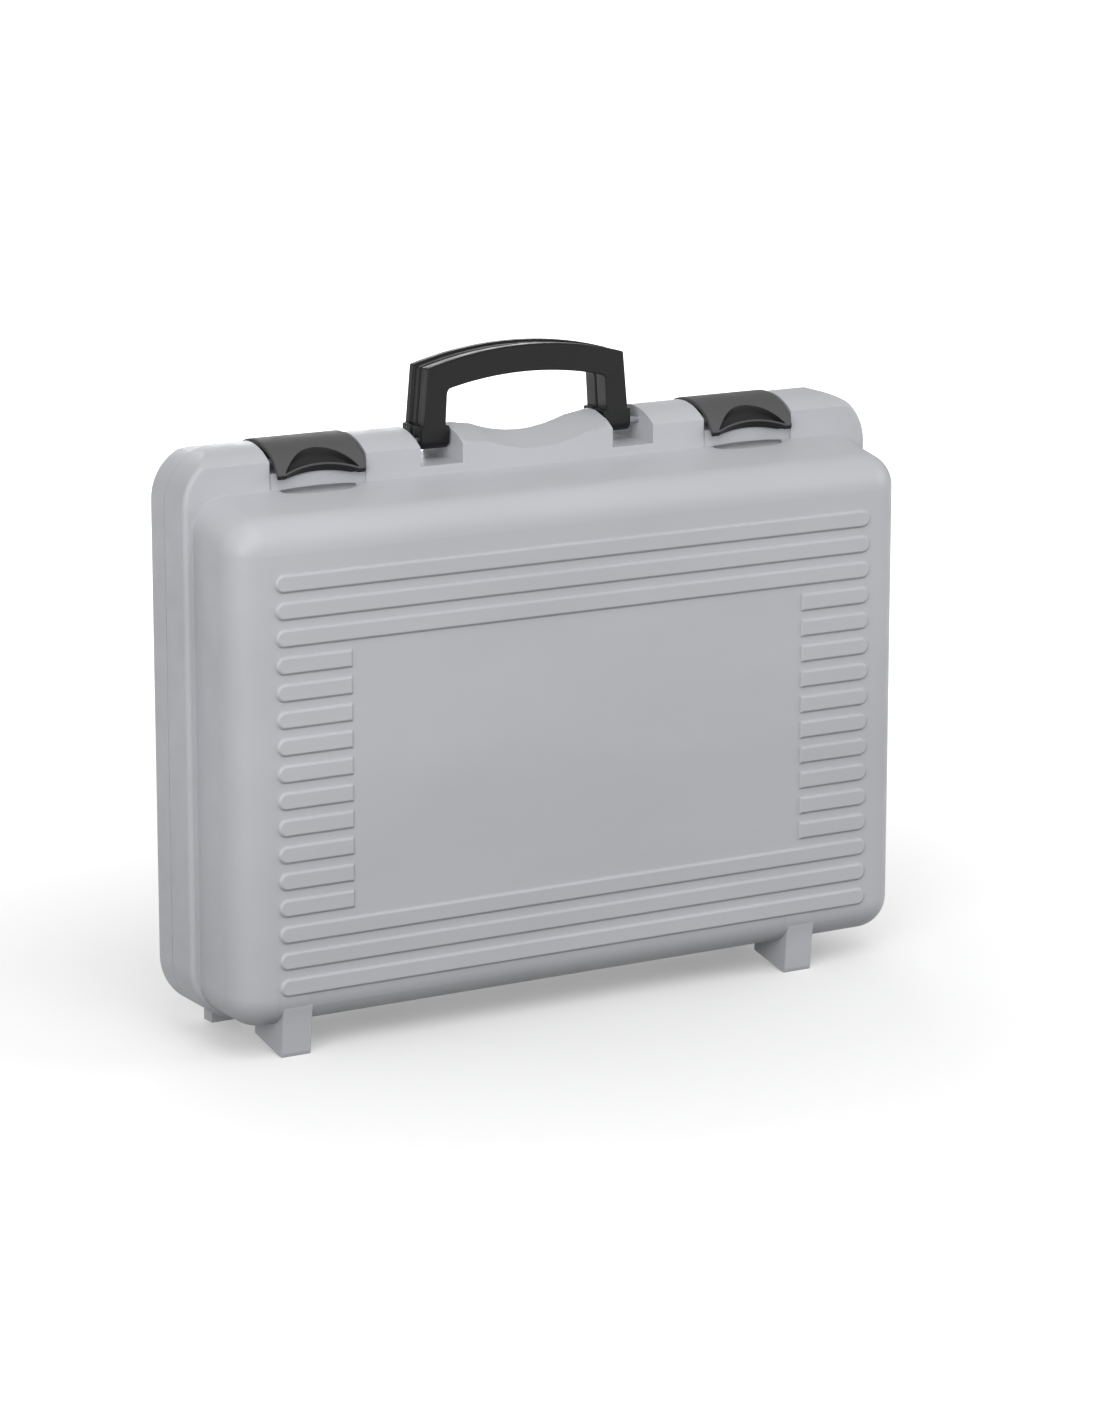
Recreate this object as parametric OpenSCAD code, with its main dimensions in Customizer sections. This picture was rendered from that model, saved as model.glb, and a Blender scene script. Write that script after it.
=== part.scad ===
// Moulded plastic carrying case: a deep front shell and a shallow lid, hinged along the
// bottom, closed by two snap latches and carried by a handle that splits with the shells.
// X runs along the width, Y from the front to the back, Z up. The origin is on the ground
// under the middle of the closed case.

/* [Case] */
// Width over the raised belt
case_w = 432; // [400:1:520]
// Height of the belt, from its underside to the top of its crown
belt_h = 311; // [290:1:420]
// Depth of the front shell, from its rib faces to the parting plane
front_depth = 72; // [60:1:130]
// Depth of the lid, from the parting plane to its rib faces
lid_depth = 23; // [21:0.5:60]
// Wall of both shells
wall = 2.6; // [2.2:0.1:3]

/* [Front body] */
// Step from the belt's sides and underside in to the front body
body_step = 5; // [3.5:0.5:10]
// Step from the belt's crown down to the front body's top wall
top_step = 23.5; // [21:0.5:30]
// Slope of the body's top wall, falling towards the front
top_slope = 11; // [4:1:14]
// Radius of the front body's edges and corners
body_r = 19; // [12:1:22]

/* [Belt] */
// Depth of the front shell's half of the belt
belt_d = 23; // [22:0.5:28]
// Corner radius of the belt's outline
belt_corner_r = 30; // [24:1:40]
// Rounding of the belt's front edge
belt_edge_r = 3; // [2:0.5:5]
// Rounding of the lid's back edge
lid_edge_r = 7; // [5:0.5:9]
// Radius of the crown that the top of the belt is arched to
crown_r = 37; // [34:1:60]
// Depth of the hand dip in the belt under the grip
dip = 7; // [3:0.5:9]
// Half the length of the hand dip
dip_half = 34; // [28:1:38]
// Depth of the flatter hollow that eases the dip's shoulders
ease = 3.4; // [2:0.1:4]
// Half the length of the easing hollow
ease_half = 41; // [36:1:44]
// Fall of the hand dip from the parting plane to each side
dip_tilt = 17; // [10:1:20]

/* [Ribs] */
// Number of rib rows on each face
rib_rows = 16; // [10:2:18]
// Rows at the top and at the bottom that run right across
long_rows = 3; // [1:1:4]
// Distance from one rib row to the next
rib_pitch = 14.6; // [13:0.1:15]
// Width of a rib at its foot
rib_w = 9.7; // [7:0.1:11]
// Height that the ribs stand proud
rib_proud = 1.5; // [1:0.1:2.5]
// Reach of the rib rows to each side of the middle
rib_reach = 187; // [150:1:190]
// Half the width of the plain label panel between the short ribs
panel_half = 142; // [90:1:150]

/* [Feet and hinges] */
// Height of the belt's underside above the ground
foot_h = 11.5; // [10:0.5:20]
// Width of a foot
foot_w = 17; // [12:0.5:24]
// Middle of the left feet, measured from the middle of the case
foot_left = 178.7; // [160:0.1:182]
// Middle of the right feet, measured from the middle of the case
foot_right = 142.2; // [130:0.1:182]
// Length of a front foot from front to back
foot_d = 36.5; // [20:0.5:40]
// Length of a back foot from front to back
back_foot_d = 9.5; // [7:0.5:10]
// Distance of the hinges from the middle of the case
hinge_x = 110; // [80:1:125]
// Length of one hinge knuckle
knuckle_l = 18; // [12:1:22]
// Outer radius of a hinge knuckle
knuckle_r = 4; // [3.6:0.1:4.4]
// Radius of a hinge pin
hinge_pin_r = 1.8; // [1.4:0.1:2.2]

/* [Handle] */
// Height of the handle's top above the belt's crown
handle_rise = 41; // [36:0.5:60]
// Height of the grip bar
grip_h = 15; // [12:0.5:18]
// Thickness of one handle half
handle_t = 10.6; // [9:0.1:11.4]
// Distance from the case's middle to a leg's outer face at its foot
leg_x = 64.6; // [60:0.1:66]
// Width of a leg
leg_w = 13.4; // [11:0.1:14]
// Lean of the legs towards the middle
leg_lean = 5.2; // [3:0.1:7]
// Radius of the arch along the top of the handle
arch_r = 224; // [180:1:400]
// Thickness of the handle's front plate, which stands out over the band behind it
plate_t = 5.2; // [4:0.1:6]
// Step from the plate's edge in to the band
band_step = 1.1; // [0.6:0.1:1.6]
// Radius of the inner corners between the legs and the grip
inner_r = 4; // [2:0.5:6]
// Width of the knuckle at the foot of a leg
handle_knuckle_w = 17.6; // [16:0.1:19]
// Height of the handle's pivot below the belt's crown
handle_pivot_drop = 7.1; // [6.5:0.1:8]
// Radius of a handle pin
handle_pin_r = 2; // [1.5:0.1:2.5]
// Inner side of a handle pocket, measured from the middle of the case
pocket_x = 47.5; // [46:0.5:48]
// Width of a handle pocket
pocket_w = 26.2; // [24:0.1:30]
// Depth of a handle pocket below the belt's crown
pocket_drop = 18.5; // [16:0.5:19]

/* [Latches] */
// Distance of the latches from the middle of the case
latch_x = 136; // [120:1:142]
// Width of a latch flap
latch_w = 54; // [40:1:56]
// Thickness of the flap
latch_t = 2.8; // [2.4:0.1:3.2]
// Height that the flap stands proud of the belt's crown
latch_proud = 1; // [0.6:0.1:1.4]
// Radius of the bend at the front of the flap
bend_r = 24; // [20:1:28]
// Angle from upright at which the flap's lip ends
lip_angle = 70; // [60:1:76]
// Distance of the latch's pivot behind the parting plane
latch_pivot_y = 9; // [8:0.5:9.5]
// Depth of the latch's pivot below the belt's crown
latch_pivot_drop = 8; // [7.5:0.1:8.5]
// Radius of a latch pin
latch_pin_r = 1.6; // [1.2:0.1:1.9]
// Gap at each side of the flap in its pocket
latch_gap = 2; // [1:0.1:3]
// Depth of the latch pocket below the belt's crown
latch_drop = 14.5; // [14:0.5:17]
// How far the catch ledge is set back from the belt's front face
ledge_set = 1.2; // [0.8:0.1:1.6]
// Depth of the finger hollow in the body's top under the lip
hollow_d = 1.9; // [1:0.1:2.2]
// Width of the hook under the flap
hook_w = 24; // [14:1:30]
// Rise of the lip's lower edge from its corners to its middle
lip_arch = 4.5; // [3:0.5:6]
// Width of the thumb scoop in the flap
scoop_w = 38; // [30:1:40]
// Depth of the thumb scoop
scoop_d = 2; // [1.4:0.1:2.4]

/* [Fits] */
// Gap between the two shells at the parting plane
parting_gap = 0.3; // [0.2:0.1:0.6]
// Gap between a pin and its bore
pin_clear = 0.05; // [0.02:0.01:0.1]
// Gap between the moving faces of neighbouring pieces
run_clear = 0.5; // [0.4:0.1:0.8]
// Gap between the rim's tongue and the lid
tongue_clear = 0.35; // [0.3:0.05:0.6]

/* [Hidden] */
$fn = 96;

shell_grey = [0.72, 0.73, 0.75];
part_black = [0.13, 0.13, 0.14];
pin_steel = [0.62, 0.63, 0.65];

// Planes and heights that everything is set out from
y_front = -(front_depth + lid_depth) / 2;
y_part = y_front + front_depth;
y_rear = y_part + lid_depth;
y_panel = y_front + rib_proud;
lid_d = lid_depth - rib_proud;
z_belt = foot_h;
z_crown = foot_h + belt_h;
z_crown_axis = z_crown - crown_r;
half_w = case_w / 2;
eps = 0.2;
hair = 0.05;
big = 600;
// The belt's forms run past the parting plane, where they are cut off together: the inner ones
// further than the outer ones
lap = 2;
function start(inset) = -lap - inset;

// Front body: the path that the centre of its edge radius follows, in Y and Z
y_belt = y_part - belt_d;
z_body = z_belt + body_step;
z_body_top = z_crown - top_step;
core_y = y_panel + body_r;
core_z0 = z_body + body_r;
core_x = half_w - body_step - body_r;
function core_top(y) = z_body_top - tan(top_slope) * (y_belt - y) - body_r / cos(top_slope);

// Rib field
z_ribs = z_belt + belt_h * 138 / 311;
rib_bevel = rib_proud * 0.7;

// Hinge axis
z_hinge = z_belt - knuckle_r * 0.55;
hinge_gap = run_clear;
hinge_l = 3 * knuckle_l + 2 * hinge_gap;
hinge_pin_l = hinge_l + 2;

// Handle
handle_gap = 0.5;
handle_y = handle_gap + handle_t / 2;
z_handle = z_crown - handle_pivot_drop;
z_handle_top = z_crown + handle_rise;
z_arch = z_handle_top - arch_r;
leg_in_lean = 3.4;
knuckle_top = z_handle + handle_t / 2 + 2.2;
handle_knuckle_x = leg_x + 1.8 - handle_knuckle_w / 2;
handle_barrel_r = handle_t / 2;
pocket_mid = pocket_x + pocket_w / 2;
z_pocket = z_crown - pocket_drop;
boss_l = 2.4;
boss_r = 4.4;

// Latch
pocket_l = latch_w + 2 * latch_gap;
z_latch_floor = z_crown - latch_drop;
z_latch_pivot = z_crown - latch_pivot_drop;
latch_boss_r = latch_pin_r + 2.6;
flap_r = crown_r + latch_proud;
bend_y = 18;
bend_angle = asin(bend_y / flap_r);
bend_c = [-(flap_r - bend_r) * sin(bend_angle), (flap_r - bend_r) * cos(bend_angle)];
lip_face = lip_angle - 6;
rim_r = latch_t / 2 + 0.25;
scoop_angle = 48;
scoop_round = 13;
hook_y = 16.9;
hook_t = 3;
bead = 0.8;

// Lays a profile of Y and Z out along X, with its middle at x = 0
module along_x(length) {
  rotate([90, 0, 90]) linear_extrude(height = length, center = true) children();
}

// Lays a profile of X and Z out along Y, from y0 to y1
module along_y(y0, y1) {
  translate([0, y1, 0]) rotate([90, 0, 0]) linear_extrude(height = y1 - y0) children();
}

// Puts a copy at each side of the middle
module both_sides() {
  children();
  mirror([1, 0, 0]) children();
}

// Turns a form that is built behind the parting plane, at y = 0, into place:
// for the front shell it is mirrored to the front
module at_front() {
  translate([0, y_part, 0]) mirror([0, 1, 0]) children();
}
module at_back() {
  translate([0, y_part, 0]) children();
}

// The front body, as a ball of the edge radius rolled round a wedge. The inset shrinks the
// ball, so the same form gives the outside and the inside of an even wall. The rounded edges
// beside the sloping top stand in by a hair, so that no two faces there nearly coincide.
module body_form(inset, y_end) {
  r = body_r - inset;
  rt = r - hair;
  top = core_top(core_y);
  drop = (y_end - core_y) * tan(top_slope) + 4;
  up = [-sin(top_slope), cos(top_slope)] * r;
  // Front to back in the middle: bottom, front and sloping top
  along_x(2 * core_x) {
    polygon([[core_y - r, core_z0], [core_y - r, top], [core_y, top], [core_y, top] + up,
      [y_end, core_top(y_end) + r / cos(top_slope)], [y_end, core_z0 - r],
      [core_y, core_z0 - r], [core_y, core_z0]]);
    translate([core_y, core_z0]) circle(r);
    translate([core_y, top]) circle(r);
  }
  // Sides, with the rounded upright edges at the front
  translate([0, 0, core_z0]) linear_extrude(height = top - core_z0) {
    translate([-core_x - r, core_y]) square([2 * (core_x + r), y_end - core_y]);
    translate([-core_x, core_y - r]) square([2 * core_x, r + 1]);
    for (x = [-core_x, core_x]) translate([x, core_y]) circle(r);
  }
  // Underside, with its rounded edges along the sides
  along_y(core_y, y_end) {
    translate([-core_x - r, core_z0]) square([2 * (core_x + r), (top - core_z0) / 2]);
    translate([-core_x, core_z0 - r]) square([2 * core_x, r + 1]);
    for (x = [-core_x, core_x]) translate([x, core_z0]) circle(r);
  }
  both_sides() translate([core_x, core_y, core_z0]) rotate([0, 90, 45]) sphere(r);
  // Rounded edges beside the sloping top, and their corners at the front
  intersection() {
    translate([0, core_y, top]) {
      rotate([top_slope, 0, 0]) along_y(0, y_end - core_y + r) {
        translate([-core_x - rt, -drop]) square([2 * (core_x + rt), drop]);
        translate([-core_x, -drop]) square([2 * core_x, drop + rt]);
        for (x = [-core_x, core_x]) translate([x, 0]) circle(rt);
      }
      both_sides() translate([core_x, 0, 0]) rotate([0, 90, 45]) sphere(rt);
    }
    translate([-big / 2, core_y - r - 10, 0]) cube([big, y_end - core_y + r + 10, big]);
  }
}

// A flat slab with the belt's outline, from a little in front of y = 0 to the given depth, its far edge
// rounded all the way round
module slab(depth, edge_r, inset) {
  d = depth - inset;
  y0 = start(inset);
  er = max(edge_r - inset, 0.6);
  cr = belt_corner_r - inset;
  w = half_w - inset;
  z0 = z_belt + inset;
  z1 = z_crown + 0.3 - inset;
  along_x(2 * (w - cr)) {
    translate([y0, z0]) square([d - er - y0, z1 - z0]);
    translate([y0, z0 + er]) square([d - y0, z1 - z0 - 2 * er]);
    translate([d - er, z0 + er]) circle(er);
    translate([d - er, z1 - er]) circle(er);
  }
  translate([0, 0, z0 + cr]) linear_extrude(height = z1 - z0 - 2 * cr) {
    translate([-w, y0]) square([2 * w, d - er - y0]);
    translate([-w + er, y0]) square([2 * (w - er), d - y0]);
    for (x = [-w + er, w - er]) translate([x, d - er]) circle(er);
  }
  for (x = [-w + cr, w - cr], z = [z0 + cr, z1 - cr])
    translate([x, 0, z]) rotate([-90, 0, 0]) rotate_extrude() {
      translate([0, y0]) square([cr, d - er - y0]);
      translate([0, y0]) square([cr - er, d - y0]);
      translate([cr - er, d - er]) circle(er);
    }
}

// The crown's section in Y and Z, down to the belt's foot
module crown(depth, edge_r, inset) {
  d = depth - inset;
  y0 = start(inset);
  er = max(edge_r - inset, 0.6);
  r = crown_r - inset;
  edge_y = d - er;
  edge_z = sqrt(pow(r - er, 2) - pow(edge_y, 2));
  reach = 1.6;
  translate([0, z_crown_axis]) {
    intersection() {
      circle(r);
      polygon([[y0, -5], [y0, r + 10], [edge_y, edge_z] * reach, [d, -5]]);
    }
    translate([edge_y, edge_z]) circle(er);
    translate([y0, -z_crown_axis]) square([d - y0, z_crown_axis + edge_z]);
  }
}

// The hand dip's cutter: a round hollow across the belt, with a flatter one that eases its
// shoulders, both tilted with the fall of the crown
module dip_cut(inset) {
  module hollow(half, depth) {
    r = (pow(half, 2) + pow(depth, 2)) / (2 * depth);
    translate([0, 0, r - depth]) rotate([90, 0, 0])
      cylinder(r = r + inset, h = 120, center = true, $fn = 180);
  }
  translate([0, 0, z_crown]) rotate([-dip_tilt, 0, 0]) {
    hollow(dip_half, dip);
    hollow(ease_half, ease);
  }
}

// One half of the belt, behind the parting plane at y = 0
module belt_form(depth, edge_r, inset) {
  difference() {
    intersection() {
      slab(depth, edge_r, inset);
      along_x(big) crown(depth, edge_r, inset);
    }
    dip_cut(inset);
  }
}

// One rib of the face pattern, from x0 to x1, standing on y = 0 towards -Y. Its outer end is
// round and its inner end square.
module rib(x0, x1, round_both) {
  r = rib_w / 2;
  flat_x0 = round_both ? x0 + r : x0;
  flat_x1 = x1 - r;
  sink = 0.6;
  module row_section() {
    polygon([[sink, -r], [sink, r], [-rib_proud + rib_bevel, r], [-rib_proud, r - rib_bevel],
      [-rib_proud, -r + rib_bevel], [-rib_proud + rib_bevel, -r]]);
  }
  module plan() {
    polygon([[flat_x0, sink], [flat_x0, -rib_proud + rib_bevel],
      [flat_x0 + (round_both ? 0 : rib_bevel), -rib_proud], [flat_x1, -rib_proud], [flat_x1, sink]]);
  }
  module round_end() {
    rotate([90, 0, 0]) {
      translate([0, 0, -sink]) cylinder(r = r, h = sink + rib_proud - rib_bevel);
      translate([0, 0, rib_proud - rib_bevel]) cylinder(r1 = r, r2 = r - rib_bevel, h = rib_bevel);
    }
  }
  intersection() {
    translate([(flat_x0 + flat_x1) / 2, 0, 0]) along_x(flat_x1 - flat_x0) row_section();
    linear_extrude(height = 2 * rib_w, center = true) plan();
  }
  translate([flat_x1, 0, 0]) round_end();
  if (round_both) translate([flat_x0, 0, 0]) round_end();
}

// The rib pattern that frames the plain label panel, standing on y = 0 towards -Y
module rib_field() {
  for (i = [0 : rib_rows - 1]) {
    z = z_ribs + ((rib_rows - 1) / 2 - i) * rib_pitch;
    is_long = i < long_rows || i >= rib_rows - long_rows;
    translate([0, 0, z]) {
      if (is_long) rib(-rib_reach, rib_reach, true);
      else both_sides() rib(panel_half, rib_reach, false);
    }
  }
}

// Walls round a handle pocket, and the pins' bosses, behind the parting plane
module handle_pocket_walls(depth) {
  both_sides() {
    translate([pocket_x - wall, -lap, z_pocket - wall])
      cube([pocket_w + 2 * wall, depth + 3, z_crown - z_pocket + 10]);
    for (x = [pocket_x - wall - boss_l, pocket_x + pocket_w + wall - eps])
      translate([x, handle_y, z_handle]) rotate([0, 90, 0]) cylinder(r = boss_r, h = boss_l + eps);
  }
}

// The handle pockets themselves, with the bores for the handle pins
module handle_pocket_voids(depth) {
  both_sides() {
    translate([pocket_x, -1, z_pocket]) cube([pocket_w, depth + 2, 60]);
    translate([pocket_mid, handle_y, z_handle]) rotate([0, 90, 0])
      cylinder(r = handle_pin_r + pin_clear, h = pocket_w + 2 * (wall + boss_l) + 2, center = true);
  }
}

// Walls and floor round a latch pocket
module latch_pocket_walls(depth) {
  both_sides() translate([latch_x - pocket_l / 2 - wall, -lap, z_latch_floor - wall])
    cube([pocket_l + 2 * wall, depth + 3, latch_drop + wall + 10]);
}

module latch_pocket_voids(y1) {
  both_sides() translate([latch_x - pocket_l / 2, -1, z_latch_floor])
    cube([pocket_l, y1 + 1, latch_drop + 20]);
}

// Catch for a latch: a rib across the pocket floor with a bead along its front edge. It is
// built behind the parting plane, so its front is at the larger y.
module catch_rib() {
  face = hook_y - 2 * bead - 0.3;
  bead_z = z_latch_pivot - 1;
  both_sides() translate([latch_x, 0, 0]) along_x(hook_w + 2) polygon([
    [face - 3, z_latch_floor - eps], [face, z_latch_floor - eps], [face, bead_z],
    [face + bead, bead_z + 0.3], [face + bead, bead_z + 1], [face, bead_z + 2],
    [face - 3, bead_z + 2]]);
}

// Puts a form on the body's top wall in front of each latch, with Y along the fall of the wall
module under_latches() {
  both_sides() translate([latch_x, belt_d, z_body_top]) rotate([-top_slope, 0, 0]) children();
}

// Finger hollow in the body's top wall: a flat ring, cut off at the recess behind it
module finger_hollow() {
  hollow_round = 20;
  ring_r = pow(pocket_l / 2 - 1, 2) / (2 * hollow_d);
  intersection() {
    under_latches() translate([0, 0, ring_r - hollow_d]) rotate([90, 0, 0])
      rotate_extrude($fn = 180) translate([ring_r - hollow_round, 0]) circle(hollow_round);
    both_sides() translate([latch_x - pocket_l / 2, belt_d - ledge_set, z_body_top - 8])
      cube([pocket_l, 20, 12]);
  }
}

// Thicker wall under the finger hollow
module hollow_backing() {
  under_latches() translate([-pocket_l / 2, -2, -wall - hollow_d + eps])
    cube([pocket_l, 13, hollow_d]);
}

// Inner tongue round the rim of the front shell. The stretch with the pockets is left out.
module rim_tongue() {
  reach = 3;
  root = 5;
  t = 1.6;
  gone = latch_x + pocket_l / 2 + wall + 1;
  module ring(y0, y1, outer, inner) {
    difference() {
      intersection() {
        translate([-big / 2, y0, 0]) cube([big, y1 - y0, big]);
        rim_outline(y0 - 1, y1 + 1, outer);
      }
      rim_outline(y0 - 1, y1 + 1, inner);
    }
  }
  difference() {
    union() {
      ring(-reach, root, wall + tongue_clear, wall + tongue_clear + t);
      ring(parting_gap / 2 + 0.4, root, wall - 0.2, wall + tongue_clear + t);
    }
    translate([-gone, -reach - 1, z_crown - 60]) cube([2 * gone, reach + root + 2, 90]);
  }
}

// The belt's outline, shrunk by the inset, from y0 to y1
module rim_outline(y0, y1, inset) {
  cr = belt_corner_r - inset;
  w = half_w - inset;
  z0 = z_belt + inset;
  z1 = z_crown - inset;
  along_y(y0, y1) {
    translate([-w, z0 + cr]) square([2 * w, z1 - z0 - 2 * cr]);
    translate([-w + cr, z0]) square([2 * (w - cr), z1 - z0]);
    for (x = [-w + cr, w - cr], z = [z0 + cr, z1 - cr]) translate([x, z]) circle(cr);
  }
}

// Middles of the feet
foot_xs = [-foot_left, foot_right];

// A front foot, flush with the front panel, its underside rising to the back. The front wall
// of a foot is thicker than the shell's.
module foot_section(inset) {
  tip = 3.5;
  rise = 5.8;
  y0 = y_panel + 1.3 * inset;
  y1 = y_panel + foot_d - inset;
  polygon([[y0, inset], [y_panel + tip, inset], [y1, rise + inset],
    [y1, core_z0 - body_r * 0.6], [core_y, core_z0], [y0, core_z0]]);
}

module front_feet(inset) {
  for (x = foot_xs) translate([x, 0, 0]) along_x(foot_w - 2 * inset) foot_section(inset);
}

module back_feet() {
  top = z_belt + lid_edge_r;
  for (x = foot_xs) translate([x, 0, 0]) along_x(foot_w)
    polygon([[y_rear - rib_proud - back_foot_d, 0], [y_rear - rib_proud, 0],
      [y_rear - rib_proud, top + 2], [y_rear - rib_proud - back_foot_d, z_belt + wall / 2]]);
}

// Middles of the hinge knuckles of one hinge that belong to the front shell, and to the lid
front_knuckles = [-(knuckle_l + hinge_gap), knuckle_l + hinge_gap];
lid_knuckles = [0];

// Knuckles at the given places on both hinges. The web runs up into the belt's underside
// at the side that the shell is on.
module knuckles(places, side) {
  for (h = [-hinge_x, hinge_x], p = places) translate([h + p, y_part, z_hinge]) {
    rotate([0, 90, 0]) cylinder(r = knuckle_r, h = knuckle_l, center = true);
    translate([-knuckle_l / 2, side > 0 ? parting_gap / 2 : -knuckle_r, 0])
      cube([knuckle_l, knuckle_r - parting_gap / 2, z_belt - z_hinge + wall / 2]);
  }
}

module knuckle_reliefs(places) {
  for (h = [-hinge_x, hinge_x], p = places) translate([h + p, y_part, z_hinge])
    rotate([0, 90, 0]) cylinder(r = knuckle_r + run_clear * 0.8, h = knuckle_l + 2 * hinge_gap, center = true);
}

module hinge_bores() {
  for (h = [-hinge_x, hinge_x]) translate([h, y_part, z_hinge])
    rotate([0, 90, 0]) cylinder(r = hinge_pin_r + pin_clear, h = hinge_l + 4, center = true);
}

module front_shell() {
  color(shell_grey) difference() {
    union() {
      difference() {
        union() {
          difference() {
            union() {
              body_form(0, y_part - 2);
              at_front() belt_form(belt_d, belt_edge_r, 0);
              front_feet(0);
            }
            body_form(wall, y_part + 4);
            at_front() belt_form(belt_d, belt_edge_r, wall);
            front_feet(wall);
          }
          at_front() intersection() {
            union() {
              handle_pocket_walls(belt_d);
              latch_pocket_walls(belt_d);
              both_sides() translate([latch_x - pocket_l / 2 - wall, belt_d - ledge_set - wall, z_body_top - wall])
                cube([pocket_l + 2 * wall, ledge_set + wall, z_latch_floor - z_body_top + wall]);
            }
            belt_form(belt_d, belt_edge_r, 0);
          }
        }
        translate([-big / 2, y_part - parting_gap / 2, 0]) cube([big, 10, big]);
      }
      at_front() {
        rim_tongue();
        hollow_backing();
      }
      translate([0, y_panel, 0]) rib_field();
      knuckles(front_knuckles, -1);
    }
    at_front() {
      handle_pocket_voids(belt_d);
      difference() {
        union() {
          latch_pocket_voids(belt_d + 1);
          both_sides() translate([latch_x - pocket_l / 2, belt_d - ledge_set, z_body_top + eps])
            cube([pocket_l, 10, latch_drop + 10]);
        }
        catch_rib();
      }
      finger_hollow();
    }
    knuckle_reliefs(lid_knuckles);
    hinge_bores();
  }
}

module rear_shell() {
  pocket_end = latch_pivot_y + 10.4;
  color(shell_grey) difference() {
    union() {
      at_back() difference() {
        union() {
          difference() {
            belt_form(lid_d, lid_edge_r, 0);
            belt_form(lid_d, lid_edge_r, wall);
          }
          intersection() {
            union() {
              handle_pocket_walls(lid_d);
              latch_pocket_walls(lid_d);
            }
            belt_form(lid_d, lid_edge_r, 0);
          }
          both_sides() for (x = [latch_x - pocket_l / 2 - wall - boss_l, latch_x + pocket_l / 2 + wall - eps])
            translate([x, latch_pivot_y, z_latch_pivot]) rotate([0, 90, 0]) cylinder(r = boss_r, h = boss_l + eps);
        }
        translate([-big / 2, parting_gap / 2 - 10, 0]) cube([big, 10, big]);
      }
      translate([0, y_rear - rib_proud, 0]) mirror([0, 1, 0]) rib_field();
      back_feet();
      knuckles(lid_knuckles, 1);
    }
    at_back() {
      handle_pocket_voids(lid_d + 5);
      latch_pocket_voids(pocket_end);
      both_sides() translate([latch_x, latch_pivot_y, z_latch_pivot]) rotate([0, 90, 0])
        cylinder(r = latch_pin_r + pin_clear, h = pocket_l + 2 * (wall + boss_l) + 2, center = true);
    }
    knuckle_reliefs(front_knuckles);
    hinge_bores();
  }
}

// One half of the handle, behind the parting plane: an arched grip on two leaning legs, with a
// barrel for the pivot at the foot of each leg
module handle_form() {
  lean = tan(leg_lean);
  lean_in = tan(leg_in_lean);
  high = z_handle_top - knuckle_top + 1;
  foot = knuckle_top - 1;
  in_x = leg_x - leg_w;
  under_r = arch_r - grip_h;
  // Middle of an inner corner, at its radius from the leg and from the underside of the grip
  corner_z = z_arch + sqrt(pow(under_r - inner_r, 2) - pow(in_x - lean_in * (high - grip_h) - inner_r, 2));
  corner_x = in_x - lean_in * (corner_z - foot) - inner_r / cos(leg_in_lean);
  corner_turn = atan2(corner_x, corner_z - z_arch);
  module outline(step) {
    x = leg_x - step;
    intersection() {
      polygon([[-x, foot], [x, foot], [x - lean * high, foot + high], [-x + lean * high, foot + high]]);
      translate([0, z_arch]) circle(arch_r - step, $fn = 360);
    }
  }
  module corner() {
    to_leg = [cos(leg_in_lean), sin(leg_in_lean)] * inner_r;
    to_grip = [sin(corner_turn), cos(corner_turn)] * inner_r;
    translate([corner_x, corner_z]) difference() {
      polygon([[0, 0], to_leg, 2 * (to_leg + to_grip), to_grip]);
      circle(inner_r + hair);
    }
  }
  module opening() {
    x_top = in_x - lean_in * (high + 1);
    difference() {
      intersection() {
        polygon([[-in_x, foot - 1], [in_x, foot - 1], [x_top, foot + high], [-x_top, foot + high]]);
        translate([0, z_arch]) circle(under_r, $fn = 360);
      }
      both_sides() corner();
    }
  }
  module knuckle() {
    translate([handle_knuckle_x, handle_y, z_handle]) {
      rotate([0, 90, 0]) cylinder(r = handle_barrel_r, h = handle_knuckle_w, center = true);
      along_x(handle_knuckle_w) translate([-handle_barrel_r, 0]) square([handle_t, knuckle_top - z_handle]);
    }
  }
  difference() {
    union() {
      along_y(handle_gap, handle_gap + handle_t - plate_t + eps) difference() {
        outline(band_step);
        opening();
      }
      along_y(handle_gap + handle_t - plate_t, handle_gap + handle_t) difference() {
        outline(0);
        opening();
      }
      both_sides() knuckle();
    }
    both_sides() translate([handle_knuckle_x, handle_y, z_handle]) rotate([0, 90, 0])
      cylinder(r = handle_pin_r + pin_clear, h = handle_knuckle_w + 2, center = true);
  }
}

module front_handle() {
  color(part_black) at_front() handle_form();
}

module rear_handle() {
  color(part_black) at_back() handle_form();
}

// A slice of a ring about the origin, from the angle a0 to the angle a1, both measured from
// upright towards -Y
module ring_slice(r_out, r_in, a0, a1) {
  difference() {
    intersection() {
      circle(r_out);
      polygon([[0, 0], [-sin(a0), cos(a0)] * 2 * r_out,
        [-sin((a0 + a1) / 2), cos((a0 + a1) / 2)] * 2 * r_out, [-sin(a1), cos(a1)] * 2 * r_out]);
    }
    circle(r_in);
  }
}

// The flap of a latch, in Y and Z about the parting plane: over the crown, round the bend and
// down to the lip
module flap_section() {
  tail = -asin((latch_pivot_y + 4.5) / flap_r);
  translate([0, z_crown_axis]) {
    ring_slice(flap_r, flap_r - latch_t, tail, bend_angle);
    translate(bend_c) ring_slice(bend_r, bend_r - latch_t, bend_angle - 1, lip_angle);
  }
}

// Puts a form on the bend of the flap, at the given angle from upright: its Z points out of
// the face and its Y up along it
module on_bend(angle, r) {
  translate([0, bend_c[0] - r * sin(angle), z_crown_axis + bend_c[1] + r * cos(angle)])
    rotate([angle, 0, 0]) children();
}

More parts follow.
